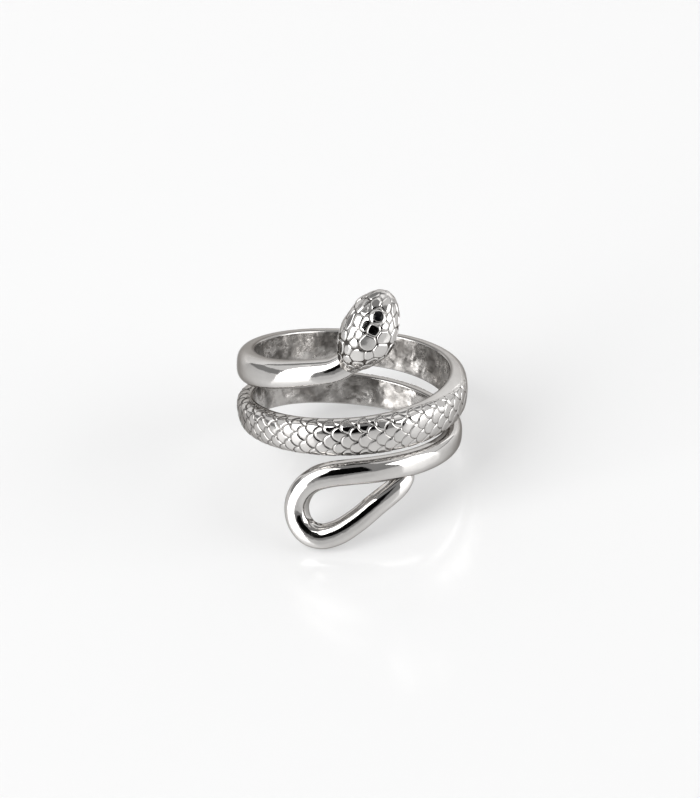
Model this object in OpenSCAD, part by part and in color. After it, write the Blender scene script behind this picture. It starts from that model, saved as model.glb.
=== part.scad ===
// Snake wrap ring: one cast metal snake wound twice round the finger, with a scaled body,
// a smooth neck and tail, a tail loop folded flat on the finger and two small stone eyes.
// The snake is laid out flat, along the finger's girth and along its axis, and then wrapped.
// Turns are angles: 0 at the front, 90 at the left, 180 at the back, seen with the head at the top.

/* [Finger] */
// Inside diameter of the coils
finger_d = 17.3; // [14:0.1:22]

/* [Coils] */
// Height from the tail's lowest coil up to the neck, middle to middle at the front
wrap_h = 9.2; // [8.8:0.1:12]
// Width of the body where it is widest
body_w = 3.7; // [3:0.1:3.9]
// Thickness of the body, from the finger to the top of its dome
body_t = 1.6; // [1.2:0.05:2.2]
// Height of the plain side between the dome and the finger
side_h = 0.35; // [0.2:0.05:0.5]
// Chamfer of the edge that meets the finger
edge_c = 0.14; // [0.05:0.01:0.3]

/* [Scales] */
// Length of one scale along the body
scale_l = 1.44; // [1.2:0.01:2.2]
// Number of rows of scales across the dome
scale_rows = 5; // [3:1:6]
// Height of a scale's middle over the groove round it
scale_h = 0.13; // [0.05:0.01:0.2]
// Turn at which the scales begin
scales_from = 268; // [230:1:300]
// Turn at which the scales end
scales_to = 590; // [500:1:620]

/* [Tail loop] */
// Length of the loop, from its root on the last coil to its far bend
loop_l = 7.2; // [6:0.1:8.5]
// Height of the loop, from the last coil's middle to its lowest middle
loop_h = 6.4; // [5.6:0.1:7.5]
// Width of the wire in the loop
wire_w = 2.1; // [1.7:0.05:2.5]

/* [Head] */
// Length of the head
head_l = 7.9; // [7:0.1:9]
// Width of the head
head_w = 4.8; // [4:0.1:5.4]
// Height of the head from crown to jaw
head_h = 4.5; // [3.8:0.1:5]
// Lean of the head from the last neck turn, over a level line
head_lean = 66; // [55:1:75]
// Roll of the crown towards the left, away from the outward direction
head_roll = 54; // [30:1:70]
// Height of a head plate over the grooves round it
plate_h = 0.12; // [0.05:0.01:0.2]

/* [Eyes] */
// Diameter of an eye stone
eye_d = 0.95; // [0.8:0.05:1.2]
// Width of the metal rim round a stone
rim_w = 0.2; // [0.15:0.01:0.3]
// Gap between a stone and its seat
stone_gap = 0.05; // [0.02:0.01:0.1]

/* [Hidden] */

finger_r = finger_d / 2;
// Radius at which lengths along the girth are measured
girth_r = finger_r + body_t / 2;
// How far the swept body reaches into the finger before the bore is cut
bore_depth = 0.3;
// Turn of the bore's seam line, under the head
seam_turn = 351.5;
// Steps of the body's mesh to one scale along, and to one row of scales across
steps_along = 4;
steps_across = 2;
dome_cells = scale_rows * steps_across;
// Roundness of the dome: 2 is an ellipse and more is squarer
dome_power = 2.3;
// Under the scales the dome is thicker towards the head and thinner away from it, by this share;
// it leans so up to a turn, and the lean comes and goes over a few degrees
dome_lean = 0.25;
lean_to = 500;
lean_fade = 40;
// Degrees between the sections of the smooth coils
plain_step = 6;
// Sections to each row of the neck's table, and the points that close a section inside the finger
neck_steps = 3;
inside_points = 2;
// Sections to each row of the loop's table
loop_steps = 4;
// Turns over which the scales rise out of the smooth body
scale_fade = 14;
// The loop's root: its turn and its height in shares of wrap_h
root_turn = 705;
root_at = 0.027;

// The neck, from inside the head to the first coil:
// turn, height in shares of wrap_h, width in shares of body_w, thickness in shares of body_t
neck_rows = [
    [-5, 1.33, 0.60, 0.95],
    [1, 1.135, 0.62, 0.97],
    [6, 1.055, 0.62, 0.97],
    [11.5, 1.004, 0.61, 0.97],
    [17, 0.980, 0.61, 0.96],
    [28, 0.933, 0.64, 0.96],
];
// The coils, in the same columns
coil_rows = [
    [45, 0.854, 0.70, 0.96],
    [90, 0.713, 0.79, 0.96],
    [135, 0.626, 0.82, 0.98],
    [180, 0.573, 0.84, 1.00],
    [225, 0.559, 0.93, 1.00],
    [270, 0.522, 1.00, 1.00],
    [315, 0.442, 0.95, 0.98],
    [360, 0.363, 0.88, 0.96],
    [405, 0.300, 0.81, 0.89],
    [450, 0.250, 0.75, 0.79],
    [495, 0.197, 0.77, 0.82],
    [540, 0.137, 0.78, 0.86],
    [585, 0.099, 0.70, 0.84],
    [630, 0.085, 0.62, 0.82],
    [675, 0.055, 0.61, 0.84],
];
// The loop, from its root round the far bend to the tail's tip:
// way along in shares of loop_l, drop in shares of loop_h, width in shares of wire_w,
// thickness in shares of body_t
loop_rows = [
    [0.000, 0.000, 1.07, 0.88],
    [0.344, 0.036, 1.05, 0.92],
    [0.573, 0.086, 1.04, 0.94],
    [0.756, 0.172, 1.02, 0.95],
    [0.917, 0.344, 1.00, 0.95],
    [1.000, 0.586, 1.00, 0.95],
    [0.962, 0.812, 1.02, 0.95],
    [0.837, 0.961, 1.03, 0.95],
    [0.665, 1.000, 1.03, 0.95],
    [0.493, 0.942, 1.02, 0.95],
    [0.225, 0.741, 0.98, 0.93],
    [-0.028, 0.502, 0.95, 0.90],
    [-0.270, 0.312, 0.92, 0.86],
    [-0.515, 0.095, 0.86, 0.80],
];
// Row of the loop's table at which the far bend is furthest, where the two halves meet
bend_row = 5;

// The head, from the neck to the nose:
// way along in shares of head_l, width and height in shares of head_w and head_h,
// height of the middle over the finger in shares of head_h
head_rows = [
    [0.00, 0.34, 0.19],
    [0.08, 0.50, 0.24],
    [0.17, 0.69, 0.31],
    [0.30, 0.88, 0.38],
    [0.40, 0.97, 0.42],
    [0.50, 1.00, 0.43],
    [0.60, 0.97, 0.43],
    [0.70, 0.90, 0.42],
    [0.79, 0.78, 0.40],
    [0.87, 0.64, 0.38],
    [0.94, 0.45, 0.36],
    [0.98, 0.28, 0.345],
    [1.00, 0.10, 0.34],
];
// Middle of the head: its turn and its height in shares of wrap_h
head_turn = -7;
head_at = 1.452;
// Cells round the head and along it
head_round = 56;
head_cells = 40;
// Middle line of the crown, as an angle round the head: the head is turned a little to its left
crown_line = -14;
// The plates on the right of the head, mirrored on the left: way along in shares of head_l,
// angle round the head, radius in mm, length in shares of width
side_plates = [
    [0.05, 12, 0.25, 1.0], [0.06, 50, 0.25, 1.0], [0.06, 95, 0.28, 1.0], [0.06, 140, 0.28, 1.0],
    [0.155, 20, 0.26, 1.0], [0.16, 58, 0.30, 1.0], [0.16, 95, 0.40, 1.2], [0.16, 135, 0.40, 1.2],
    [0.275, 13, 0.26, 1.2], [0.27, 41, 0.50, 1.0], [0.335, 64, 0.32, 1.1], [0.27, 86, 0.34, 1.2],
    [0.29, 112, 0.42, 1.2], [0.30, 145, 0.45, 1.2],
    [0.40, 19, 0.28, 1.1], [0.475, 46, 0.58, 1.0], [0.44, 82, 0.56, 1.15], [0.46, 118, 0.50, 1.2],
    [0.47, 152, 0.50, 1.3],
    [0.49, 3, 0.30, 1.7], [0.515, 21, 0.26, 1.1], [0.635, 47, 0.42, 1.0], [0.60, 76, 0.52, 1.1],
    [0.63, 4, 0.30, 1.7], [0.655, 22, 0.30, 1.7], [0.64, 105, 0.38, 1.3], [0.63, 135, 0.46, 1.3],
    [0.76, 3, 0.34, 1.2], [0.77, 43, 0.62, 1.0], [0.715, 68, 0.28, 1.2], [0.71, 87, 0.30, 1.4],
    [0.79, 72, 0.26, 1.2], [0.79, 102, 0.32, 1.4], [0.79, 135, 0.42, 1.4],
    [0.87, 17, 0.26, 1.4], [0.90, 57, 0.34, 1.2], [0.88, 90, 0.28, 1.3], [0.91, 125, 0.34, 1.4],
    [0.97, 25, 0.20, 1.0], [0.97, 90, 0.20, 1.0], [0.97, 150, 0.20, 1.0],
];
crown_plates = [
    [0.10, 0, 0.26, 1.2], [0.25, 0, 0.34, 1.4], [0.40, 0, 0.30, 1.2], [0.57, -3, 0.42, 1.7],
    [0.77, 0, 0.42, 1.2], [0.92, 0, 0.26, 1.0],
];
// Width of the grooves between the plates
groove_w = 0.42;
// Shares of the head's length over which the plates fade at the neck and at the nose
neck_smooth = 0.125;
nose_smooth = 0.083;
// The eyes: way along in shares of head_l and angle from the crown's middle line
eye_at = 0.77;
eye_angle = 57;
// Depth of a stone's seat, and heights of the rim and of the stone over the head
seat_depth = 0.4;
rim_h = 0.09;
stone_h = 0.2;
eye_facets = 24;

// The ring leans back on the loop and on the lowest coil, at this turn and a little to each side
rest_turn = 569;
rest_span = 4;

function wrapped(u, z, out) =
    let (turn = u / girth_r * 180 / PI)
    [-(finger_r + out) * sin(turn), -(finger_r + out) * cos(turn), z];

function girth_at(turn) = turn * PI / 180 * girth_r;

// Knots of the middle line: way along the girth, height, width and thickness
coil_knots = [
    for (r = concat(neck_rows, coil_rows))
        [girth_at(r[0]), r[1] * wrap_h, r[2] * body_w, r[3] * body_t]
];
loop_knots = [
    for (r = loop_rows)
        [
            girth_at(root_turn) + r[0] * loop_l,
            root_at * wrap_h - r[1] * loop_h,
            r[2] * wire_w,
            r[3] * body_t
        ]
];
knots = concat(coil_knots, loop_knots);

// Distances from row to row, measured over the first columns
function gaps(rows, columns) = [
    for (i = [0:len(rows) - 2])
        norm([for (c = [0:columns - 1]) rows[i + 1][c] - rows[i][c]])
];

function slope(rows, gap, i) =
    i == 0 ? (rows[1] - rows[0]) / gap[0]
    : i == len(rows) - 1 ? (rows[i] - rows[i - 1]) / gap[i - 1]
    : let (a = gap[i - 1], b = gap[i])
        ((rows[i] - rows[i - 1]) / a * b + (rows[i + 1] - rows[i]) / b * a) / (a + b);

// A smooth curve through the rows of a table, at the share f of the step after row i
function curve(rows, gap, i, f) =
    rows[i] * (2 * f ^ 3 - 3 * f ^ 2 + 1)
    + slope(rows, gap, i) * gap[i] * (f ^ 3 - 2 * f ^ 2 + f)
    + rows[i + 1] * (3 * f ^ 2 - 2 * f ^ 3)
    + slope(rows, gap, i + 1) * gap[i] * (f ^ 3 - f ^ 2);

// The middle line at k, which counts knots and may lie between two
knot_gaps = gaps(knots, 2);
function along(k) =
    let (i = max(0, min(floor(k), len(knots) - 2)))
    curve(knots, knot_gaps, i, k - i);

// The direction of the middle line, in the flat layout
function heading(k) =
    let (
        step = 0.01,
        a = along(max(0, k - step)),
        b = along(min(len(knots) - 1, k + step))
    )
    [b[0] - a[0], b[1] - a[1]] / norm([b[0] - a[0], b[1] - a[1]]);

// Knots to a turn, on the coils, whose rows stand at equal steps
coil_step = 45;
first_coil_knot = len(neck_rows);
function knot_at(turn) = first_coil_knot + (turn - coil_step) / coil_step;

scale_count = round(girth_at(scales_to - scales_from) / scale_l);
scaled_sections = scale_count * steps_along;

// Relief of the scales: a net of diamonds, each rising towards its tip at the tail's side
function fraction(x) = x - floor(x);
function diamond(i, j) =
    let (
        p = fraction((i / steps_along + j / steps_across / 2)),
        q = fraction((i / steps_along - j / steps_across / 2)),
        inside = min(1, 2.2 * min(1 - abs(2 * p - 1), 1 - abs(2 * q - 1)))
    )
    inside * (0.75 + 0.45 * (p + q - 1));

function fade(turn) =
    max(0, min(1, (turn - scales_from) / scale_fade, (scales_to - turn) / scale_fade));

function edge_fade(across) = max(0, min(1, (1 - abs(across)) * 6));

function bent(x) = sign(x) * abs(x) ^ (2 / dome_power);

// One section as points across the flat layout and out from the finger
function section(w, t, i, strength, lean) =
    concat(
        [
            for (j = [0:dome_cells])
                let (
                    across = 2 * j / dome_cells - 1,
                    lift = strength * scale_h * edge_fade(across) * diamond(i, j),
                    a = 90 * across
                )
                [
                    (w / 2 + lift) * bent(sin(a)),
                    side_h + (t - side_h + lift) * bent(cos(a)) * (1 + lean * bent(sin(a)))
                ]
        ],
        [
            [w / 2 - edge_c * (1 + bore_depth / side_h), -bore_depth],
            [-w / 2 + edge_c * (1 + bore_depth / side_h), -bore_depth]
        ]
    );
section_points = dome_cells + 1 + inside_points;

function leaning(turn) =
    dome_lean * max(0, min(1, (turn - scales_from) / lean_fade, (lean_to - turn) / lean_fade));

// A section set square to the middle line at knot k, shrunk to a tip by shrink, and wrapped
function placed(k, i, strength, shrink) =
    let (
        c = along(k),
        h = heading(k),
        lean = leaning(scales_from + (k - knot_at(scales_from)) * coil_step)
    )
    [
        for (p = section(c[2] * shrink, side_h + (c[3] - side_h) * shrink, i, strength, lean))
            wrapped(c[0] - p[0] * h[1], c[1] + p[0] * h[0], p[1])
    ];

// Sections as [knot, scale step, strength of the scales, shrink]
function spread(from, to, count) = [
    for (i = [0:count - 1]) [from + (to - from) * i / count, 0, 0, 1]
];
neck_sections = spread(0, first_coil_knot, first_coil_knot * neck_steps);
plain_count = ceil((scales_from - coil_step) / plain_step);
plain_sections = spread(first_coil_knot, knot_at(scales_from), plain_count);
scale_sections = [
    for (i = [0:scaled_sections - 1])
        let (turn = scales_from + (scales_to - scales_from) * i / scaled_sections)
        [knot_at(turn), i, fade(turn), 1]
];
root_knot = len(coil_knots);
bend_knot = root_knot + bend_row;
last_knot = len(knots) - 1;
tail_count = ceil((root_turn - scales_to) / plain_step);
tail_sections = concat(
    spread(knot_at(scales_to), root_knot - 1, tail_count),
    spread(root_knot - 1, bend_knot, (bend_row + 1) * loop_steps),
    [[bend_knot, 0, 0, 1]]
);
tip_knots = 1;
tip_steps = 6;
loop_sections = concat(
    spread(bend_knot, last_knot - tip_knots, (last_knot - tip_knots - bend_knot) * loop_steps),
    [
        for (i = [0:tip_steps])
            let (a = 86 * i / tip_steps)
            [last_knot - tip_knots + tip_knots * sin(a), 0, 0, 0.2 + 0.8 * cos(a)]
    ]
);
body_sections = concat(neck_sections, plain_sections, scale_sections, tail_sections);

// A closed skin over rings of points. A quad is split along the net of the scales.
function skin_faces(rings, points, steps, net) = concat(
    [[for (j = [0:points - 1]) j]],
    [
        for (i = [0:rings - 2])
            for (j = [0:points - 1])
                let (
                    n = (j + 1) % points,
                    a = i * points + j,
                    b = i * points + n,
                    c = (i + 1) * points + n,
                    d = (i + 1) * points + j,
                    rising = (steps[i] - j + net * points) % net == 0
                )
                each rising ? [[a, c, b], [a, d, c]] : [[a, d, b], [b, d, c]]
    ],
    [[for (j = [points - 1:-1:0]) (rings - 1) * points + j]]
);

body_rings = [for (s = body_sections) placed(s[0], s[1], s[2], s[3])];
loop_rings = [for (s = loop_sections) placed(s[0], s[1], s[2], s[3])];

module skin(rings, sections) {
    polyhedron(
        points = [for (r = rings) each r],
        faces = skin_faces(len(rings), section_points, [for (s = sections) s[1]], steps_along)
    );
}

// The head's own directions: from neck to nose, out of the crown and out of the right side
head_out = wrapped(girth_at(head_turn), 0, 1) - wrapped(girth_at(head_turn), 0, 0);
head_side = [-cos(head_turn), sin(head_turn), 0];
up = [0, 0, 1];
head_forward = -cos(head_lean) * head_side + sin(head_lean) * up;
head_across = sin(head_lean) * head_side + cos(head_lean) * up;
head_crown = cos(head_roll) * head_out + sin(head_roll) * head_across;
head_right = sin(head_roll) * head_out - cos(head_roll) * head_across;
head_foot = wrapped(girth_at(head_turn), head_at * wrap_h, 0);

head_gaps = gaps(head_rows, 1);
function head_shape(share) =
    let (
        below = [for (i = [0:len(head_rows) - 2]) if (head_rows[i][0] <= share) i],
        i = max(concat([0], below))
    )
    curve(head_rows, head_gaps, i, (share - head_rows[i][0]) / head_gaps[i]);

// A point of the head's skin, at a share of its length and an angle round it
function head_point(share, angle, lift) =
    let (s = head_shape(share))
    head_foot
    + head_forward * (share - 0.5) * head_l
    + head_out * s[2] * head_h
    + head_crown * (s[1] * head_h / 2 + lift) * cos(angle)
    + head_right * (s[1] * head_w / 2 + lift) * sin(angle);

all_plates = concat(
    [for (p = crown_plates) [p[0], crown_line + p[1], p[2], p[3]]],
    side_plates,
    [for (p = side_plates) [p[0], 2 * crown_line - p[1], p[2], p[3]]]
);
// Distance from a plate's outline, below 0 inside it
function plate_distance(share, angle, size, p) =
    let (turned = abs(angle - p[1]), apart = min(turned, abs(360 - turned)) * PI / 180)
    norm([(share - p[0]) * head_l / p[3], apart * size]) - p[2];

// Height of the plates' relief: full inside a plate and none on the line between two
function plate_lift(share, angle) =
    let (
        size = head_shape(share)[1] * (head_w + head_h) / 4,
        d = [for (p = all_plates) plate_distance(share, angle, size, p)],
        nearest = min(d),
        next = min([for (x = d) if (x > nearest) x]),
        ends = max(0, min(1, share / neck_smooth, (1 - share) / nose_smooth))
    )
    plate_h * ends * min(1, (next - nearest) / groove_w);

head_rings = [
    for (i = [0:head_cells])
        let (share = i / head_cells)
        [
            for (j = [0:head_round - 1])
                let (angle = 360 * j / head_round - 180)
                head_point(share, angle, plate_lift(share, angle))
        ]
];

module head_skin() {
    polyhedron(
        points = [for (r = head_rings) each r],
        faces = skin_faces(len(head_rings), head_round, [for (r = head_rings) 0], 1)
    );
}

// Sets a thing drawn upright at the origin square on the head, where an eye is
module at_eye(side) {
    step = 0.01;
    turn = crown_line + side * eye_angle;
    at = head_point(eye_at, turn, 0);
    ahead = head_point(eye_at + step, turn, 0) - at;
    sideways = head_point(eye_at, turn + 1, 0) - at;
    normal = cross(sideways, ahead) / norm(cross(sideways, ahead));
    first = ahead / norm(ahead);
    second = cross(normal, first);
    multmatrix([
        [first[0], second[0], normal[0], at[0]],
        [first[1], second[1], normal[1], at[1]],
        [first[2], second[2], normal[2], at[2]],
    ])
        children();
}

module eye_rim() {
    seat_r = eye_d / 2 + stone_gap;
    rotate_extrude($fn = eye_facets)
        polygon([
            [seat_r - stone_gap / 2, -rim_w],
            [seat_r + rim_w + plate_h, -rim_w],
            [seat_r + rim_w, rim_h / 2],
            [seat_r + rim_w / 2, rim_h],
            [seat_r, rim_h],
        ]);
}

module eye_seat() {
    translate([0, 0, -seat_depth])
        cylinder(h = 3 * seat_depth, r = eye_d / 2 + stone_gap, $fn = eye_facets);
}

module eye_stone() {
    dome_steps = 5;
    rotate_extrude($fn = eye_facets)
        polygon(concat(
            [[0, stone_gap - seat_depth], [eye_d / 2, stone_gap - seat_depth]],
            [
                for (i = [0:dome_steps])
                    let (a = 90 * i / dome_steps)
                    [eye_d / 2 * cos(a), stone_h * sin(a)]
            ]
        ));
}

module finger_bore() {
    bore_l = 4 * wrap_h;
    rotate(270 - seam_turn)
        translate([0, 0, -bore_l / 2])
            cylinder(h = bore_l, r = finger_r, $fn = 180);
}

// The plane the ring stands on: through the lowest points of the loop and of two sections
// of the lowest coil, found again for the new upward direction until it stays
function outside_points(rings) = [for (r = rings) for (j = [0:dome_cells]) r[j]];
loop_feet = outside_points(loop_rings);
coil_feet = [
    for (side = [-1, 1])
        outside_points([placed(knot_at(rest_turn + side * rest_span), 0, 0, 1)])
];

function lowest(points, upward) =
    let (d = [for (p = points) p * upward])
    points[search(min(d), d)[0]];

function settled(upward, times) =
    times == 0 ? upward
    : let (
        a = lowest(loop_feet, upward),
        b = lowest(coil_feet[0], upward),
        c = lowest(coil_feet[1], upward),
        n = cross(b - a, c - a)
    )
    settled(n / norm(n) * sign(n[2]), times - 1);

floor_up = settled([0, 0, 1], 5);
floor_across = cross([0, 1, 0], floor_up) / norm(cross([0, 1, 0], floor_up));
floor_back = cross(floor_up, floor_across);

all_points = concat(
    outside_points(body_rings),
    loop_feet,
    [for (r = head_rings) each r]
);
function low(direction) = min([for (p = all_points) p * direction]);
function high(direction) = max([for (p = all_points) p * direction]);
function middle(direction) = (low(direction) + high(direction)) / 2;

// Stands the ring on the floor, with the middle of its footprint at the origin
module rested() {
    multmatrix([
        concat(floor_across, [-middle(floor_across)]),
        concat(floor_back, [-middle(floor_back)]),
        concat(floor_up, [-low(floor_up)]),
    ])
        children();
}

module snake_band() {
    color("silver")
        rested()
            difference() {
                resize([0, 0, 0])
                    difference() {
                        union() {
                            skin(body_rings, body_sections);
                            skin(loop_rings, loop_sections);
                            head_skin();
                            at_eye(1) eye_rim();
                            at_eye(-1) eye_rim();
                        }
                        at_eye(1) eye_seat();
                        at_eye(-1) eye_seat();
                    }
                finger_bore();
            }
}

module right_eye_stone() {
    color("black")
        rested()
            at_eye(1)
                eye_stone();
}

module left_eye_stone() {
    color("black")
        rested()
            at_eye(-1)
                eye_stone();
}

snake_band();
right_eye_stone();
left_eye_stone();
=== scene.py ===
import bpy
import numpy as np
from mathutils import Matrix, Vector


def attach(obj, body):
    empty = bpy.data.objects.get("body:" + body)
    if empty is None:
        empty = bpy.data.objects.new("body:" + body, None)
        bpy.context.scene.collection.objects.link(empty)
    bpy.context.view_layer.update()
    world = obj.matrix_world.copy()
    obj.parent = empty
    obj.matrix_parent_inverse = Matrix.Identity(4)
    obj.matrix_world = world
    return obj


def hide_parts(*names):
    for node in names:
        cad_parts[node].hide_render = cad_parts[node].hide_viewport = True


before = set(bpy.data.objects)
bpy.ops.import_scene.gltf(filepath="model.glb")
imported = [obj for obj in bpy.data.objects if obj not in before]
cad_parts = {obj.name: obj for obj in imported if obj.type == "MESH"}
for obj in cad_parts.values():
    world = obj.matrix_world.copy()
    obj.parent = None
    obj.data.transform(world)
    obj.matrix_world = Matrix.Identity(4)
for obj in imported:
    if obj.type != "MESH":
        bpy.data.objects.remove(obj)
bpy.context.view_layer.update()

# A silver ring: a snake winds twice round the finger, lifts its head at one end,
# and bends its smooth tail back up into a loop at the other.
# Shapes are worked out in millimetres round the finger's axis, then set on the floor.
MM = 0.001
# the finger's opening, the height of the coils, and the sizes of the body, the loop and the head
FINGER_D = 17.3
WRAP_H = 9.2
BODY_W = 3.7
BODY_T = 1.6
LOOP_L = 7.2
LOOP_H = 6.4
WIRE_W = 2.1
HEAD_L = 7.9
HEAD_W = 4.8
HEAD_H = 4.5
FINGER_R = FINGER_D / 2
GIRTH_R = FINGER_R + BODY_T / 2

# The body's section is a dome on straight sides, with a small rounded edge and a flat inside.
# A power of 2 would make the dome an ellipse; a higher one makes it squarer
SIDE_H = 0.35
EDGE = 0.14
# the middle of the rounded edge lies this share of its radius inside the corner
EDGE_MIDDLE = 0.3
DOME_POWER = 2.7
DOME_POINTS = 81
# Under the scales the dome leans to the head's side, by a share of its height at its edge.
# The lean goes from SCALES_FROM to LEAN_TO and eases in and out, in degrees of turn
DOME_LEAN = 0.25
LEAN_TO = 500.0
LEAN_FADE = 40.0
# a section of the common size, for spreading points over the back
COMMON_HALF_W = 1.6
COMMON_DOME_H = 1.2
# across the flat inside, in shares of its half width
FLAT_SHARES = (0.6, 0.2, -0.2, -0.6)
# painted shade down the sides: how dark they are painted, from the dome to the inside,
# where 1 is the bottom of a groove
SIDE_PAINTED_SHADE = [0.5, 0.7, 0.4, 0.0]

# The ring leans back on its loop: rows of the turn from the finger's axes to the floor's, and the shift
FLOOR_ROWS = np.array([[0.986526, 0.0, 0.163606],
                       [-0.0527701, 0.946554, 0.318199],
                       [-0.154862, -0.322545, 0.9338]])
FLOOR_SHIFT = np.array([-0.739336, -0.0446392, 3.71089])

# turn in degrees, height in shares of WRAP_H, width in shares of BODY_W, thickness in shares of BODY_T
NECK = [[-5, 1.33, 0.60, 0.95], [1, 1.135, 0.62, 0.97], [6, 1.055, 0.62, 0.97],
        [11.5, 1.004, 0.61, 0.97], [17, 0.980, 0.61, 0.96], [28, 0.933, 0.64, 0.96]]
COILS = [[45, 0.854, 0.70, 0.96], [90, 0.713, 0.79, 0.96], [135, 0.626, 0.82, 0.98],
         [180, 0.573, 0.84, 1.00], [225, 0.559, 0.93, 1.00], [270, 0.522, 1.00, 1.00],
         [315, 0.442, 0.95, 0.98], [360, 0.363, 0.88, 0.96], [405, 0.300, 0.81, 0.89],
         [450, 0.250, 0.75, 0.79], [495, 0.197, 0.77, 0.82], [540, 0.137, 0.78, 0.86],
         [585, 0.099, 0.70, 0.84], [630, 0.085, 0.62, 0.82], [675, 0.055, 0.61, 0.84]]
COIL_STEP = 45
# along the girth in shares of LOOP_L, down in shares of LOOP_H, width in shares of WIRE_W,
# thickness in shares of BODY_T; it begins at ROOT_TURN, at ROOT_AT of WRAP_H
LOOP = [[0.000, 0.000, 1.07, 0.88], [0.344, 0.036, 1.05, 0.92], [0.573, 0.086, 1.04, 0.94],
        [0.756, 0.172, 1.02, 0.95], [0.917, 0.344, 1.00, 0.95], [1.000, 0.586, 1.00, 0.95],
        [0.962, 0.812, 1.02, 0.95], [0.837, 0.961, 1.03, 0.95], [0.665, 1.000, 1.03, 0.95],
        [0.493, 0.942, 1.02, 0.95], [0.225, 0.741, 0.98, 0.93], [-0.028, 0.502, 0.95, 0.90],
        [-0.270, 0.312, 0.92, 0.86], [-0.515, 0.095, 0.86, 0.80]]
ROOT_TURN = 705.0
ROOT_AT = 0.027
# the loop ends in a rounded tip: its sections, and the share of its size that the last one keeps
TAIL_RINGS = 14
TAIL_END = 0.2

# a rounded end's rings stop short of its pole, in degrees, and a small flat closes it
CAP_TO = 88
# how much the bevels ease into the flat, where 1 would be a straight slope
BEVEL_POWER = 1.5
# so many of a piece's faces are enough to tell which way they look
SAMPLED_FACES = 4000


def smooth(x):
    """From 0 to 1, eased at both ends."""
    x = np.clip(x, 0.0, 1.0)
    return x * x * (3 - 2 * x)


def ramp(x, start, length):
    """From 0 to 1 in a straight line over a length."""
    return np.clip((x - start) / length, 0, 1)


def bevel(x):
    """From nothing to full: a nearly straight slope that eases into the flat."""
    return 1 - (1 - np.clip(x, 0, 1)) ** BEVEL_POWER


def bent(x):
    """Squares a circle's sine or cosine into the dome's."""
    return np.sign(x) * np.abs(x) ** (2 / DOME_POWER)


def soft_least(a, b, softness):
    """The lesser of two, with the change between them rounded."""
    return -softness * np.logaddexp(-a / softness, -b / softness)


def cap_angles(rings):
    """Angles in radians of a rounded end's rings, from its foot to near its pole."""
    return np.radians(np.linspace(0, CAP_TO, rings))


def wrapped(girth, height, out):
    """Points on the finger: along its girth, up its axis and out from it."""
    turn = girth / GIRTH_R
    return np.stack([-(FINGER_R + out) * np.sin(turn), -(FINGER_R + out) * np.cos(turn),
                     height + 0 * turn], -1)


def curve(rows, columns, k):
    """A smooth curve through the rows of a table; k counts rows and may lie between two."""
    gap = np.linalg.norm(np.diff(rows[:, :columns], axis=0), axis=1)
    step = np.diff(rows, axis=0) / gap[:, None]
    slope = np.empty_like(rows)
    slope[0], slope[-1] = step[0], step[-1]
    slope[1:-1] = (step[:-1] * gap[1:, None] + step[1:] * gap[:-1, None]) / (gap[:-1] + gap[1:])[:, None]
    i = np.clip(np.floor(k).astype(int), 0, len(rows) - 2)
    f, g = (k - i)[:, None], gap[i][:, None]
    return (rows[i] * (2 * f**3 - 3 * f**2 + 1) + slope[i] * g * (f**3 - 2 * f**2 + f)
            + rows[i + 1] * (3 * f**2 - 2 * f**3) + slope[i + 1] * g * (f**3 - f**2))


def middle_line():
    """The snake's middle line, head to tail: rows of girth, height, width and thickness in mm."""
    rows = [[np.radians(t) * GIRTH_R, z * WRAP_H, w * BODY_W, h * BODY_T] for t, z, w, h in NECK + COILS]
    root = np.radians(ROOT_TURN) * GIRTH_R
    rows += [[root + x * LOOP_L, ROOT_AT * WRAP_H - d * LOOP_H, w * WIRE_W, h * BODY_T]
             for x, d, w, h in LOOP]
    return np.array(rows)


KNOTS = middle_line()
# the tail's rounded tip takes the last gap between knots
LAST = len(KNOTS) - 1


def knot_at(turn):
    """The row of KNOTS at a turn on the coils."""
    return len(NECK) + (turn - COIL_STEP) / COIL_STEP


def grid_faces(rings, points):
    """Quads between rings of points, with the first and the last ring closed."""
    i, j = np.meshgrid(np.arange(rings - 1), np.arange(points), indexing="ij")
    a, b = i * points + j, i * points + (j + 1) % points
    quads = np.stack([a, b, b + points, a + points], -1).reshape(-1, 4)
    last = (rings - 1) * points
    return quads.tolist() + [list(range(points))[::-1], list(range(last, last + points))]


def add_object(name, data):
    made = bpy.data.objects.new(name, data)
    bpy.context.scene.collection.objects.link(made)
    return made


def make_piece(name, points, faces, finishes, finish_of=None, painted_shade=None):
    """A smooth mesh from millimetre points; its faces are turned outward."""
    points = np.asarray(points, float).reshape(-1, 3)
    middle = points.mean(0)
    volume = 0.0
    for f in faces[:: max(1, len(faces) // SAMPLED_FACES)]:
        a, b, c = points[f[0]] - middle, points[f[1]] - middle, points[f[2]] - middle
        volume += float(np.dot(a, np.cross(b, c)))
    if volume < 0:
        faces = [f[::-1] for f in faces]
    set_out = (points @ FLOOR_ROWS.T + FLOOR_SHIFT) * MM
    mesh = bpy.data.meshes.new(name)
    mesh.from_pydata(set_out.tolist(), [], faces)
    for finish in finishes:
        mesh.materials.append(finish)
    if finish_of is not None:
        mesh.polygons.foreach_set("material_index", np.asarray(finish_of, np.int32))
    mesh.polygons.foreach_set("use_smooth", np.ones(len(faces), bool))
    # the mask of painted shade, which the silver's finish reads
    if painted_shade is not None:
        layer = mesh.attributes.new("painted_shade", "FLOAT", "POINT")
        layer.data.foreach_set("value", np.asarray(painted_shade, np.float32).ravel())
    mesh.validate()
    mesh.update()
    return add_object(name, mesh)


# ---- finishes ----

def colour(hex_code):
    """An sRGB hex colour as linear light."""
    shares = [int(hex_code[i:i + 2], 16) / 255 for i in (1, 3, 5)]
    return [s / 12.92 if s <= 0.04045 else ((s + 0.055) / 1.055) ** 2.4 for s in shares] + [1.0]


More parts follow.
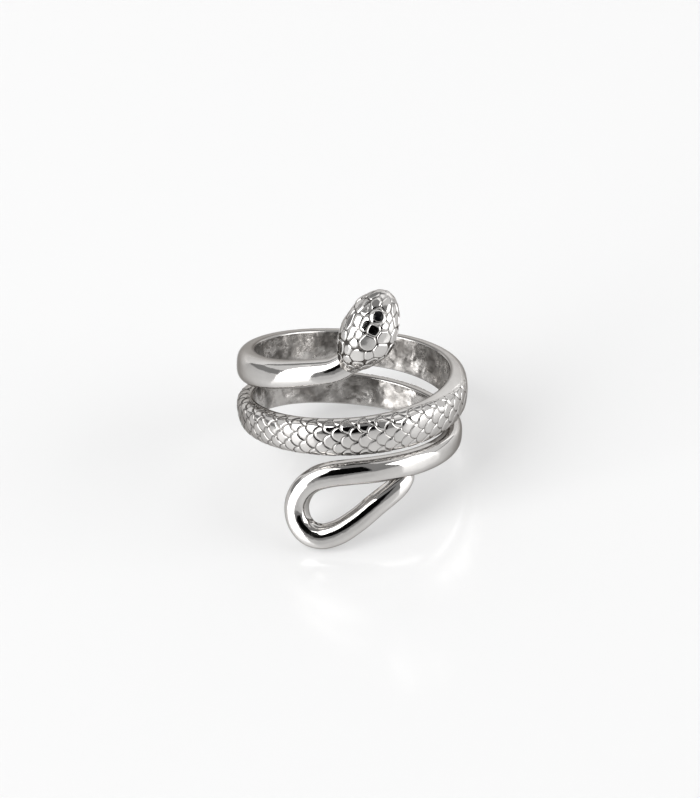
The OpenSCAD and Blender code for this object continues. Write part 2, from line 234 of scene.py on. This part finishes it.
def add_node(tree, kind, links=None, values=None, **settings):
    """One node with its settings, its inputs' values, and links into its inputs."""
    node = tree.nodes.new(kind)
    for key, value in settings.items():
        setattr(node, key, value)
    for key, value in (values or {}).items():
        node.inputs[key].default_value = value
    for key, socket in (links or {}).items():
        tree.links.new(socket, node.inputs[key])
    return node


def new_finish(name):
    finish = bpy.data.materials.new(name)
    finish.use_nodes = True
    finish.node_tree.nodes.clear()
    return finish, finish.node_tree


def marks(tree, place, size_mm, detail, roughness=0.5, distortion=0.0):
    """Noise whose marks are of that size."""
    noise = add_node(tree, "ShaderNodeTexNoise", {"Vector": place},
                     {"Scale": 1 / (size_mm * MM), "Detail": detail, "Roughness": roughness,
                      "Distortion": distortion})
    return noise.outputs["Fac"]


def tone_between(tree, share, tones):
    """A colour that runs between two tones, each given with the share where it stands."""
    spread = add_node(tree, "ShaderNodeValToRGB", {"Fac": share})
    for element, (at, hex_code) in zip(spread.color_ramp.elements, tones.items()):
        element.position, element.color = at, colour(hex_code)
    return spread.outputs["Color"]


def gloss_between(tree, share, roughnesses):
    """A roughness that runs between two, each given with the share where it stands."""
    (low, first), (high, second) = roughnesses.items()
    spread = add_node(tree, "ShaderNodeMapRange", {"Value": share},
                      {"From Min": low, "From Max": high, "To Min": first, "To Max": second})
    return spread.outputs["Result"]


def relief(tree, height, strength, depth_mm, under=None):
    """A bump of that depth, on top of another one if given."""
    links = {"Height": height} if under is None else {"Height": height, "Normal": under}
    bump = add_node(tree, "ShaderNodeBump", links, {"Strength": strength, "Distance": depth_mm * MM})
    return bump.outputs["Normal"]


def coat_with(tree, links, values, kind="ShaderNodeBsdfPrincipled"):
    """Ends a finish with its shader."""
    shader = add_node(tree, kind, links, values)
    add_node(tree, "ShaderNodeOutputMaterial", {"Surface": shader.outputs["BSDF"]})


def polished_sterling_silver():
    # Sterling silver, cast, tumbled and polished on a felt wheel: a near mirror with a faint
    # ripple left by the wheel, hairlines from wear, and painted shade: a darker tone in the grooves of
    # scales and plates and down the body's sides
    finish, tree = new_finish("polished_sterling_silver")
    place = add_node(tree, "ShaderNodeTexCoord").outputs["Object"]
    painted_shade = add_node(tree, "ShaderNodeAttribute", attribute_name="painted_shade").outputs["Fac"]
    cloud = marks(tree, place, size_mm=2.5, detail=4.0, roughness=0.6)
    tone = tone_between(tree, cloud, {0.35: "#c6c4c2", 0.65: "#cfcdcb"})
    # painted shade: the recess mask mixes the silver towards a dark grey in the grooves and down the sides
    shade_painted_silver = add_node(tree, "ShaderNodeMix", {0: painted_shade, 6: tone}, {7: colour("#55524f")}, data_type="RGBA")
    hairline = marks(tree, place, size_mm=0.35, detail=6.0, roughness=0.7, distortion=0.6)
    gloss = gloss_between(tree, hairline, {0.3: 0.05, 0.75: 0.11})
    ripple = marks(tree, place, size_mm=1.1, detail=2.0, roughness=0.45)
    swell = relief(tree, ripple, strength=0.5, depth_mm=0.03)
    skin = relief(tree, hairline, strength=0.35, depth_mm=0.004, under=swell)
    coat_with(tree, {"Base Color": shade_painted_silver.outputs[2], "Roughness": gloss, "Normal": skin},
              {"Metallic": 1.0, "Specular Tint": colour("#a5a29f")})
    return finish


def as_cast_silver():
    # The inside is left nearly as it came from the mould and only brushed: a satin skin,
    # clouded by the grain of the investment plaster, with soft hollows a few tenths deep
    finish, tree = new_finish("as_cast_silver")
    place = add_node(tree, "ShaderNodeTexCoord").outputs["Object"]
    cloud = marks(tree, place, size_mm=1.7, detail=4.0, roughness=0.55)
    tone = tone_between(tree, cloud, {0.36: "#716e6b", 0.64: "#c6c3c0"})
    gloss = gloss_between(tree, cloud, {0.35: 0.34, 0.65: 0.22})
    # real grain is near 0.05 mm; drawn at 0.16 mm so that it shows
    grain = marks(tree, place, size_mm=0.16, detail=2.0)
    skin = relief(tree, grain, strength=0.4, depth_mm=0.006)
    hollow = marks(tree, place, size_mm=1.5, detail=2.0, roughness=0.45)
    swell = relief(tree, hollow, strength=0.9, depth_mm=0.34, under=skin)
    coat_with(tree, {"Base Color": tone, "Roughness": gloss, "Normal": swell}, {"Metallic": 1.0})
    return finish


def polished_onyx():
    # Black onyx cut as a small cabochon: deep black under a glassy polish
    finish, tree = new_finish("polished_onyx")
    place = add_node(tree, "ShaderNodeTexCoord").outputs["Object"]
    veil = marks(tree, place, size_mm=0.5, detail=3.0)
    tone = tone_between(tree, veil, {0.0: "#040405", 1.0: "#0d0d0f"})
    coat_with(tree, {"Base Color": tone}, {"Roughness": 0.14, "IOR": 1.42, "Specular IOR Level": 0.25})
    return finish


def white_acrylic_sheet():
    # The studio table: a white acrylic sheet with a soft gloss, lit a little from below,
    # so that shadows on it stay faint
    finish, tree = new_finish("white_acrylic_sheet")
    coat_with(tree, None, {"Base Color": colour("#bfbfbf"), "Roughness": 0.13, "IOR": 1.5,
                           "Emission Color": colour("#ffffff"), "Emission Strength": 0.345})
    return finish


def black_felt():
    # The dark opening of the tent, as the silver sees it: cloth that gives back next to no light
    finish, tree = new_finish("black_felt")
    coat_with(tree, None, {"Color": colour("#0a0a0a"), "Roughness": 1.0}, "ShaderNodeBsdfDiffuse")
    return finish


SILVER = polished_sterling_silver()
INSIDE = as_cast_silver()
ONYX = polished_onyx()


# ---- the body ----

# The scales, in degrees of turn: where they begin, where the coil passes behind the ring, where they end,
# how long they take to fade, one scale's tip, and the pitch along the body
SCALES_FROM = 268.0
SCALES_BEHIND = 470.0
SCALES_TO = 590.0
SCALE_FADE = 14.0
TIP_TURN = 346.8
SCALE_PITCH = 8.7
# their skin's height over the girth's circle, in mm, for the pitch's length
SKIN_UP = 0.7
# the middle row across the back and the gap to the next, in shares of its half arc; the rows on each side,
# and as many scales a row as tilts are drawn for
FIRST_ROW = -0.04
ROW_GAP = 0.306
SIDE_ROWS = 4
SCALES_A_ROW = 64
# in mm: height, the width of their rounded rim, of the drop behind them and of the painted shade in the
# groove there, which is narrower on a scale's own rim by RIM_SHARE
SCALE_RISE = 0.105
SCALE_BEVEL = 0.16
SCALE_DROP = 0.06
GROOVE_W = 0.09
RIM_SHARE = 1.6
# in pitches: the length of the rounded tip, and the middle of a scale from its tip; a power of 2 is round
TIP_L = 0.54
SCALE_MIDDLE = 0.6
TIP_POWER = 2.0
# in shares of SCALE_RISE: a scale's height at its tip, what it gains over a pitch,
# and its random tilt at most, which stands for cutting by hand
TIP_H = 0.82
SCALE_SLOPE = 0.18
SCALE_TILT = 0.3
SCALE_SEED = 3
# A smooth border runs along the upper side, beyond BORDER_AT of the half arc. It thins out from
# BORDER_THINS on, and comes back behind the ring: each time over some degrees, by a share of the half arc
BORDER_AT = 0.62
BORDER_THINS, THINS_OVER, THINS_BY = 280, 65, 0.5
BACK_OVER, BACK_BY = 50, 0.4
BORDER_FADE = 0.07
EDGE_FADE = 0.06

# The body's sections stand these lengths apart in mm: neck, scales in front, scales behind, tail.
# The close ones go on past the scales by a few degrees
STATION_STEPS = (0.6, 0.055, 0.13, 0.3)
SCALE_MARGIN = 4
# points for measuring the length of the middle line and of the dome's arc, and a small step between knots
LINE_SAMPLES = 40001
ARC_SAMPLES = 4001
NUDGE = 0.01


def body_stations():
    """Where the sections stand on the middle line: close together under the scales."""
    k = np.linspace(0, LAST - 1, LINE_SAMPLES)
    line = curve(KNOTS, 2, k)
    length = np.concatenate([[0], np.cumsum(np.linalg.norm(np.diff(line[:, :2], axis=0), axis=1))])
    ends = [0, knot_at(SCALES_FROM - SCALE_MARGIN), knot_at(SCALES_BEHIND),
            knot_at(SCALES_TO + SCALE_MARGIN), LAST - 1]
    stations = []
    for low, high, step in zip(ends, ends[1:], STATION_STEPS):
        a, b = np.interp([low, high], k, length)
        count = int(np.ceil((b - a) / step))
        stations.append(np.interp(np.linspace(a, b, count + 1)[:-1], length, k))
    return np.concatenate(stations)


def dome_angles(count):
    """Angles over the back that stand at equal steps of its arc."""
    a = np.linspace(-90, 90, ARC_SAMPLES)
    x, y = COMMON_HALF_W * bent(np.sin(np.radians(a))), COMMON_DOME_H * bent(np.cos(np.radians(a)))
    arc = np.concatenate([[0], np.cumsum(np.hypot(np.diff(x), np.diff(y)))])
    return np.interp(np.linspace(0, arc[-1], count), arc, a)


def scales(along, across, half_arc):
    """Height and painted groove shade of overlapping scales; along counts pitches, across is a share of the
    half arc.
    """
    # further than any scale reaches, in pitches or mm, and what keeps the divisors above nothing
    far, least_reach, least_steep = 9.0, 1e-6, 1e-3
    pitch_mm = np.radians(SCALE_PITCH) * (GIRTH_R + SKIN_UP)
    # each scale was cut by hand, so its face tilts a little to one side
    tilts = np.random.default_rng(SCALE_SEED).uniform(-SCALE_TILT, SCALE_TILT,
                                                      (2 * SIDE_ROWS + 1, SCALES_A_ROW, 2))
    backs, insets, tilted = [], [], []
    for row in range(-SIDE_ROWS, SIDE_ROWS + 1):
        offset = (across - FIRST_ROW - ROW_GAP * row) / ROW_GAP
        aside = np.abs(offset)
        # every other row stands half a pitch on
        phase = 0.0 if row % 2 == 0 else 0.5
        for further in (-1.0, 0.0, 1.0):
            back = np.ceil(along - phase) + phase - along + further
            # a scale's outline is where this is 1: a round tip, then straight sides
            fore = np.maximum(1 - back / TIP_L, 0)
            reach = np.maximum((fore**TIP_POWER + aside**TIP_POWER) ** (1 / TIP_POWER), least_reach)
            steep = np.hypot((fore / reach) ** (TIP_POWER - 1) / (TIP_L * pitch_mm),
                             (aside / reach) ** (TIP_POWER - 1) / (ROW_GAP * half_arc))
            backs.append(back)
            insets.append((1 - reach) / np.maximum(steep, least_steep))
            tilt = tilts[row + SIDE_ROWS, (np.ceil(along - phase) + further).astype(int) % SCALES_A_ROW]
            tilted.append(tilt[..., 0] * (back - SCALE_MIDDLE) + tilt[..., 1] * offset)
    backs, insets, tilted = np.array(backs), np.array(insets), np.array(tilted)
    top = np.argmin(np.where(insets > 0, backs, far), axis=0)[None]
    back, inset, tilt = (np.take_along_axis(part, top, 0)[0] for part in (backs, insets, tilted))
    # how far it is to the scale that lies over this one
    free = np.min(np.where((insets <= 0) & (backs < back), -insets, far), axis=0)
    height = (TIP_H + SCALE_SLOPE * back + tilt) * bevel(inset / SCALE_BEVEL) * bevel(free / SCALE_DROP)
    # the second value is painted shade, darkest in the groove at a scale's edge
    return height, 1 - np.clip(np.minimum(RIM_SHARE * inset, free) / GROOVE_W, 0, 1)


def scale_strength(turn, across):
    """How fully the scales stand: they fade at their ends, and a smooth border runs beside them."""
    fade = smooth((turn - SCALES_FROM) / SCALE_FADE) * smooth((SCALES_TO - turn) / SCALE_FADE)
    border = (BORDER_AT + THINS_BY * ramp(turn, BORDER_THINS, THINS_OVER)
              - BACK_BY * ramp(turn, SCALES_BEHIND, BACK_OVER))
    return (fade[:, None] * smooth((1 - np.abs(across)) / EDGE_FADE)
            * smooth((border[:, None] - across) / BORDER_FADE))


def band_inside(half):
    """The sides run straight down to a small rounded edge, and the inside is a flat band."""
    down = [(0.0, SIDE_H / 2), (0.0, EDGE), (-EDGE * EDGE_MIDDLE, EDGE * EDGE_MIDDLE), (-EDGE, 0.0)]
    inner = [(half + x, half * 0 + o) for x, o in down]
    inner += [((half - EDGE) * share, half * 0) for share in FLAT_SHARES]
    inner += [(-x, o) for x, o in inner[len(down) - 1::-1]]
    return [np.stack(part, 1) for part in zip(*inner)]


def snake_body():
    """The band from the neck to the loop's tip: one section after the other along the middle line."""
    k = body_stations()
    tip = cap_angles(TAIL_RINGS)
    shrink = np.concatenate([np.ones(len(k)), TAIL_END + (1 - TAIL_END) * np.cos(tip)])
    k = np.concatenate([k, LAST - 1 + np.sin(tip)])
    line = curve(KNOTS, 2, k)
    # the line's direction, from a point just after and one just before
    after = curve(KNOTS, 2, np.minimum(k + NUDGE, LAST))
    before = curve(KNOTS, 2, np.maximum(k - NUDGE, 0))
    ahead = after[:, :2] - before[:, :2]
    ahead /= np.linalg.norm(ahead, axis=1)[:, None]
    width, thick = line[:, 2] * shrink, (line[:, 3] - SIDE_H) * shrink
    angle = np.radians(dome_angles(DOME_POINTS))
    side, top = bent(np.sin(angle)), bent(np.cos(angle))
    # the plain dome gives the places of the scales over its arc
    plain_x, plain_o = width[:, None] / 2 * side, thick[:, None] * top
    arc = np.cumsum(np.hypot(np.diff(plain_x, axis=1, prepend=plain_x[:, :1]),
                             np.diff(plain_o, axis=1, prepend=plain_o[:, :1])), axis=1)
    across = 2 * arc / arc[:, -1:] - 1
    turn = SCALES_FROM + (k - knot_at(SCALES_FROM)) * COIL_STEP
    along = np.repeat((turn[:, None] - TIP_TURN) / SCALE_PITCH, len(angle), 1)
    height, painted_shade = scales(along, across, arc[:, -1:] / 2)
    strength = scale_strength(turn, across)
    lift = SCALE_RISE * height * strength
    lean = DOME_LEAN * np.clip(np.minimum(turn - SCALES_FROM, LEAN_TO - turn) / LEAN_FADE, 0, 1)
    outer_x = (width[:, None] / 2 + lift) * side
    outer_o = SIDE_H + (thick[:, None] + lift) * top * (1 + lean[:, None] * side)
    inner_x, inner_o = band_inside(width / 2)
    x, o = np.concatenate([outer_x, inner_x], 1), np.concatenate([outer_o, inner_o], 1)
    points = wrapped(line[:, 0:1] - x * ahead[:, 1:2], line[:, 1:2] + x * ahead[:, 0:1], o)
    # painted shade down the body's sides, none on the flat inside
    inner_painted_shade = SIDE_PAINTED_SHADE + [0.0] * len(FLAT_SHARES) + SIDE_PAINTED_SHADE[::-1]
    painted_shade = np.concatenate([painted_shade * strength, np.repeat([inner_painted_shade], len(k), 0)], 1)
    faces = grid_faces(len(k), x.shape[1])
    first_flat = DOME_POINTS + len(SIDE_PAINTED_SHADE) - 1
    on_inside = [int(first_flat <= n % x.shape[1] <= first_flat + len(FLAT_SHARES))
                 for n in range(len(faces) - 2)] + [0, 0]
    return make_piece("snake_body", points, faces, [SILVER, INSIDE], on_inside, painted_shade)


# ---- the head ----

# along in shares of HEAD_L, girth in shares of HEAD_W and HEAD_H, lift of the middle in shares of HEAD_H
HEAD = np.array([[0.00, 0.34, 0.19], [0.08, 0.50, 0.24], [0.17, 0.69, 0.31], [0.30, 0.88, 0.38],
                 [0.40, 0.97, 0.42], [0.50, 1.00, 0.43], [0.60, 0.97, 0.43], [0.70, 0.90, 0.42],
                 [0.79, 0.78, 0.40], [0.87, 0.64, 0.38], [0.94, 0.45, 0.36], [0.98, 0.28, 0.345],
                 [1.00, 0.10, 0.34]])
# where the head's middle stands, in degrees of turn and in shares of WRAP_H,
# and in degrees how steeply its nose rises and how far its crown rolls from outward
HEAD_TURN = -7.0
HEAD_AT = 1.452
HEAD_LEAN = 66.0
HEAD_ROLL = 54.0
# rings along the head, and points round each
HEAD_RINGS = 190
HEAD_POINTS = 330
# the nose is closed by a small round cap
NOSE_CAP_H = 0.04
NOSE_RINGS = 6
# the head's plates: along in shares of HEAD_L, angle round the head, radius in mm, length in shares of width
SIDE_PLATES = [
    (0.05, 12, 0.25, 1.0), (0.06, 50, 0.25, 1.0), (0.06, 95, 0.28, 1.0), (0.06, 140, 0.28, 1.0),
    (0.155, 20, 0.26, 1.0), (0.16, 58, 0.30, 1.0), (0.16, 95, 0.40, 1.2), (0.16, 135, 0.40, 1.2),
    (0.275, 13, 0.26, 1.2), (0.27, 41, 0.50, 1.0), (0.335, 64, 0.32, 1.1), (0.27, 86, 0.34, 1.2),
    (0.29, 112, 0.42, 1.2), (0.30, 145, 0.45, 1.2),
    (0.40, 19, 0.28, 1.1), (0.475, 46, 0.58, 1.0), (0.44, 82, 0.56, 1.15), (0.46, 118, 0.50, 1.2),
    (0.47, 152, 0.50, 1.3),
    (0.49, 3, 0.34, 1.7), (0.515, 21, 0.26, 1.1), (0.635, 45, 0.46, 1.0), (0.60, 76, 0.52, 1.1),
    (0.63, 4, 0.36, 1.7), (0.655, 22, 0.34, 1.7), (0.64, 105, 0.38, 1.3), (0.63, 135, 0.46, 1.3),
    (0.76, 3, 0.40, 1.2), (0.77, 43, 0.62, 1.0), (0.715, 68, 0.28, 1.2), (0.71, 87, 0.30, 1.4),
    (0.79, 72, 0.26, 1.2), (0.79, 102, 0.32, 1.4), (0.79, 135, 0.42, 1.4),
    (0.87, 17, 0.26, 1.4), (0.90, 57, 0.34, 1.2), (0.88, 90, 0.28, 1.3), (0.91, 125, 0.34, 1.4),
    (0.97, 25, 0.20, 1.0), (0.97, 90, 0.20, 1.0), (0.97, 150, 0.20, 1.0)]
# along the middle of the crown, which lies at this angle
CROWN_LINE = -14
CROWN_PLATES = [(0.10, 0, 0.26, 1.2), (0.25, 0, 0.34, 1.4), (0.40, 0, 0.30, 1.2), (0.57, -3, 0.42, 1.7),
                (0.77, 0, 0.42, 1.2), (0.92, 0, 0.26, 1.0)]
# in mm: height, the width of the rounded edge and of the painted shade in the groove, how far a plate
# reaches past its radius, and the rounding where its own limit meets its neighbour's
PLATE_RISE = 0.07
PLATE_BEVEL = 0.13
PLATE_GROOVE = 0.05
PLATE_REACH = 0.2
PLATE_SOFTNESS = 0.025
# a plate is flatter than the skin, whose radius is HEAD_ROUND, out to FLAT_TO from its middle
PLATE_FLATNESS = 0.7
HEAD_ROUND = 2.3
FLAT_TO = 0.75
# The random lean of a plate, as a slope at most, stands for cutting by hand. The seed is one
# whose plates under the eye lean as their reflections in the photograph ask
PLATE_LEAN = 0.08
PLATE_SEED = 406
# the plates fade over one part in so many of the head, at the neck and at the nose
NECK_PART = 8
NOSE_PART = 12

# the eyes: along in shares of HEAD_L, and the angle from the crown's line on either side
EYE_AT = 0.77
EYE_ANGLE = 57.0
# round an eye the plates fade and the skin sinks under the rim: from these radii on, in mm
EYE_CLEAR_R = 0.5
EYE_SINK_R = 0.3
EYE_FADE = 0.2
EYE_SINK = 0.12
LATHE_STEPS = 96
# radius and height in mm over the skin
RIM_PROFILE = [[0.487, -0.30], [0.487, 0.06], [0.44, 0.103], [0.442, 0.12], [0.465, 0.136], [0.50, 0.136],
               [0.55, 0.11], [0.70, 0.012], [0.722, -0.01], [0.735, -0.05], [0.74, -0.30]]
STONE_R = 0.472
STONE_DOME = 0.2
STONE_FOOT = -0.28
STONE_RINGS = 24


def head_axes():
    """The head's foot on the finger, and its directions forward, out of the crown and to the right."""
    turn, lean, roll = np.radians([HEAD_TURN, HEAD_LEAN, HEAD_ROLL])
    aside = np.array([-np.cos(turn), np.sin(turn), 0])
    out = np.array([-np.sin(turn), -np.cos(turn), 0])
    up = np.array([0, 0, 1.0])
    forward = -np.cos(lean) * aside + np.sin(lean) * up
    over = np.sin(lean) * aside + np.cos(lean) * up
    crown = np.cos(roll) * out + np.sin(roll) * over
    right = np.sin(roll) * out - np.cos(roll) * over
    return out * FINGER_R + up * HEAD_AT * WRAP_H, forward, out, crown, right


def head_girth(share):
    """Girth and lift of the head's middle, at shares of its length."""
    return curve(HEAD, 1, np.interp(share, HEAD[:, 0], np.arange(len(HEAD))))[:, 1:]


def head_point(share, angle, lift=0.0):
    """Points of the head's skin; share and angle are arrays of one shape."""
    foot, forward, out, crown, right = head_axes()
    girth = head_girth(np.ravel(share)).reshape(np.shape(share) + (2,))
    a = np.radians(angle)
    return (foot + forward * ((share - 0.5) * HEAD_L)[..., None] + out * (girth[..., 1] * HEAD_H)[..., None]
            + crown * ((girth[..., 0] * HEAD_H / 2 + lift) * np.cos(a))[..., None]
            + right * ((girth[..., 0] * HEAD_W / 2 + lift) * np.sin(a))[..., None])


def plates(share, angle):
    """Height and painted groove shade of the head's plates; each point belongs to the plate whose edge is
    nearest.
    """
    size = head_girth(np.ravel(share))[:, 0].reshape(share.shape) * (HEAD_W + HEAD_H) / 4
    middles = [(at, CROWN_LINE + turn, radius, length) for at, turn, radius, length in CROWN_PLATES]
    middles += SIDE_PLATES
    # the left side mirrors the right one about the crown
    middles += [(at, 2 * CROWN_LINE - turn, radius, length) for at, turn, radius, length in SIDE_PLATES]
    # each plate was cut by hand, so it leans a little
    leans = np.random.default_rng(PLATE_SEED).uniform(-PLATE_LEAN, PLATE_LEAN, (len(middles), 2))
    off_middle, off_edge, leaning = [], [], []
    for (at, turn, radius, length), lean in zip(middles, leans):
        ahead, apart = (share - at) * HEAD_L, np.radians((angle - turn + 180) % 360 - 180) * size
        off_middle.append(np.hypot(ahead / length, apart))
        off_edge.append(off_middle[-1] - radius)
        leaning.append(lean[0] * ahead + lean[1] * apart)
    nearest, next_one = np.sort(off_edge, axis=0)[:2]
    which = np.argmin(off_edge, axis=0)[None]
    own, own_lean = (np.take_along_axis(np.array(part), which, 0)[0] for part in (off_middle, leaning))
    inset = soft_least((next_one - nearest) / 2, PLATE_REACH - nearest, PLATE_SOFTNESS)
    ends = np.clip(share * NECK_PART, 0, 1) * np.clip((1 - share) * NOSE_PART, 0, 1)
    flat = PLATE_FLATNESS * np.minimum(own, FLAT_TO) ** 2 / (2 * HEAD_ROUND)
    height = ends * (PLATE_RISE + flat + own_lean) * bevel(inset / PLATE_BEVEL)
    # the second value is painted shade, darkest in the groove between plates
    return height, ends * (1 - np.clip(inset / PLATE_GROOVE, 0, 1))


def snake_head():
    """Rings of skin from the neck to the nose, with the plates raised on them."""
    share = np.repeat(np.linspace(0, 1, HEAD_RINGS + 1)[:, None], HEAD_POINTS, 1)
    angle = np.repeat((np.arange(HEAD_POINTS) * 360 / HEAD_POINTS - 180)[None], HEAD_RINGS + 1, 0)
    lift, painted_shade = plates(share, angle)
    for side in (-1, 1):
        eye = head_point(np.array([EYE_AT]), np.array([CROWN_LINE + side * EYE_ANGLE]))[0]
        near = np.linalg.norm(head_point(share, angle) - eye, axis=-1)
        keep = smooth((near - EYE_CLEAR_R) / EYE_FADE)
        lift = lift * keep - EYE_SINK * (1 - smooth((near - EYE_SINK_R) / EYE_FADE))
        painted_shade = painted_shade * keep
    points = head_point(share, angle, lift)
    last = points[-1]
    middle = last.mean(0)
    forward = head_axes()[1]
    caps = [middle + (last - middle) * np.cos(a) + forward * NOSE_CAP_H * np.sin(a)
            for a in cap_angles(NOSE_RINGS + 1)[1:]]
    points = np.concatenate([points, caps])
    painted_shade = np.concatenate([painted_shade, np.zeros((len(caps), HEAD_POINTS))])
    # the finger's hole cuts the head's underside
    near_axis = np.linalg.norm(points[..., :2], axis=-1)
    push = np.maximum(1, FINGER_R / near_axis)
    points[..., :2] *= push[..., None]
    return make_piece("snake_head", points, grid_faces(len(points), HEAD_POINTS), [SILVER], None, painted_shade)


def lathe_at_eye(name, side, profile, finish):
    """Turns a profile of [radius, height] square on the head, where an eye is."""
    turn = CROWN_LINE + side * EYE_ANGLE
    # the eye, a point a little further to the nose and one a degree round the head
    at = head_point(np.array([EYE_AT, EYE_AT + 0.01, EYE_AT]), np.array([turn, turn, turn + 1]))
    first = (at[1] - at[0]) / np.linalg.norm(at[1] - at[0])
    normal = np.cross(at[2] - at[0], at[1] - at[0])
    normal /= np.linalg.norm(normal)
    second = np.cross(normal, first)
    a = np.radians(np.arange(LATHE_STEPS) * 360 / LATHE_STEPS)
    ring = first * np.cos(a)[:, None] + second * np.sin(a)[:, None]
    points = [at[0] + ring * r + normal * h for r, h in profile]
    return make_piece(name, points, grid_faces(len(profile), LATHE_STEPS), [finish])


STONE_PROFILE = [[STONE_R, STONE_FOOT], [STONE_R, 0.0]] + [
    [STONE_R * float(np.cos(a)), STONE_DOME * float(np.sin(a))] for a in cap_angles(STONE_RINGS)[1:]]

body = snake_body()
head = snake_head()
rims = [lathe_at_eye(name, side, RIM_PROFILE, SILVER)
        for name, side in (("right_eye_rim", 1), ("left_eye_rim", -1))]
stones = [lathe_at_eye(name, side, STONE_PROFILE, ONYX)
          for name, side in (("right_eye_cabochon", 1), ("left_eye_cabochon", -1))]
for piece in [body, head] + rims:
    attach(piece, "root")
    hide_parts("snake_band")
for piece, node in zip(stones, ("right_eye_stone", "left_eye_stone")):
    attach(piece, "root")
    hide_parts(node)

# ---- the studio ----

# A white table in a pale light tent, with a softbox on either side and a weaker one behind each,
# a lit sheet behind the ring and one above it, and the tent's dark opening in front
TABLE_CORNERS = [(-3, -3, 0), (3, -3, 0), (3, 3, 0), (-3, 3, 0)]
STUDIO_R = 1.6
RING_MIDDLE = Vector((0, 0, 0.01))
TENT_GLOW = 0.31
# name, azimuth from the front and elevation of its middle, width and height as the ring sees them,
# all in degrees, and radiance
SOFTBOXES = [("left_softbox", -60, 35, 42, 70, 3.9),
             ("right_softbox", 72, 16, 44, 44, 3.6),
             ("left_fill", -108, 38, 44, 36, 0.6),
             ("right_fill", 120, 38, 56, 70, 0.55),
             ("back_sheet", 182, 13, 92, 28, 0.85),
             ("roof_sheet", 180, 62, 56, 26, 0.55)]
# the opening's corners in azimuth and elevation, a metre away
OPENING = [(-33, 7), (23, 7), (28, 57), (-37, 57)]


def direction(azimuth, elevation):
    """One metre towards an azimuth and an elevation."""
    a, e = np.radians([azimuth, elevation])
    return Vector((np.sin(a) * np.cos(e), -np.cos(a) * np.cos(e), np.sin(e)))


def facing_ring(azimuth, elevation, distance):
    """Stands at a direction and a distance from the ring, and faces it."""
    towards = direction(azimuth, elevation)
    turn = towards.to_track_quat("Z", "Y").to_matrix().to_4x4()
    turn.translation = towards * distance + RING_MIDDLE
    return turn


def four_cornered(name, corners, finish):
    mesh = bpy.data.meshes.new(name)
    mesh.from_pydata(corners, [], [(0, 1, 2, 3)])
    mesh.materials.append(finish)
    return add_object(name, mesh)


table = four_cornered("studio_table", TABLE_CORNERS, white_acrylic_sheet())
for name, azimuth, elevation, wide, high, radiance in SOFTBOXES:
    lamp = bpy.data.lights.new(name, "AREA")
    lamp.shape = "RECTANGLE"
    lamp.size = 2 * STUDIO_R * float(np.tan(np.radians(wide / 2)))
    lamp.size_y = 2 * STUDIO_R * float(np.tan(np.radians(high / 2)))
    lamp.energy = radiance * np.pi * lamp.size * lamp.size_y
    add_object(name, lamp).matrix_world = facing_ring(azimuth, elevation, STUDIO_R)
card = four_cornered("tent_opening", [direction(a, e) for a, e in OPENING], black_felt())

world = bpy.data.worlds.new("light_tent")
bpy.context.scene.world = world
world.use_nodes = True
world.node_tree.nodes["Background"].inputs["Color"].default_value = colour("#ffffff")
world.node_tree.nodes["Background"].inputs["Strength"].default_value = TENT_GLOW

# ---- the camera ----

# measured round the finger's axis: distance, tilt and roll in degrees, and the aim's offset
VIEW_DISTANCE = 415.28
VIEW_TILT = 19.9
VIEW_ROLL = -1.95
AIM_RIGHT = 0.085
AIM_UP = 0.188
AIM_HEIGHT = 3.7
PIXELS_PER_MM = 11.309
PICTURE = (700, 798)
SENSOR_W = 36

tilt, roll = np.radians([VIEW_TILT, VIEW_ROLL])
level_right, level_up = np.array([1.0, 0, 0]), np.array([0, np.sin(tilt), np.cos(tilt)])
looking = np.array([0, np.cos(tilt), -np.sin(tilt)])
to_right = np.cos(roll) * level_right - np.sin(roll) * level_up
to_top = np.sin(roll) * level_right + np.cos(roll) * level_up
eye_point = np.array([0, 0, AIM_HEIGHT]) - AIM_RIGHT * to_right - AIM_UP * to_top - VIEW_DISTANCE * looking
lens = bpy.data.cameras.new("camera")
lens.sensor_width = SENSOR_W
lens.lens = PIXELS_PER_MM * VIEW_DISTANCE / max(PICTURE) * SENSOR_W
lens.clip_start, lens.clip_end = 0.01, 20
camera = add_object("camera", lens)
stand = Matrix.Identity(4)
for column, axis in enumerate((to_right, to_top, -looking)):
    turned = FLOOR_ROWS @ axis
    for row in range(3):
        stand[row][column] = turned[row]
stand.translation = Vector(((FLOOR_ROWS @ eye_point + FLOOR_SHIFT) * MM).tolist())
camera.matrix_world = stand
bpy.context.scene.camera = camera
bpy.context.scene.view_settings.view_transform = "Standard"
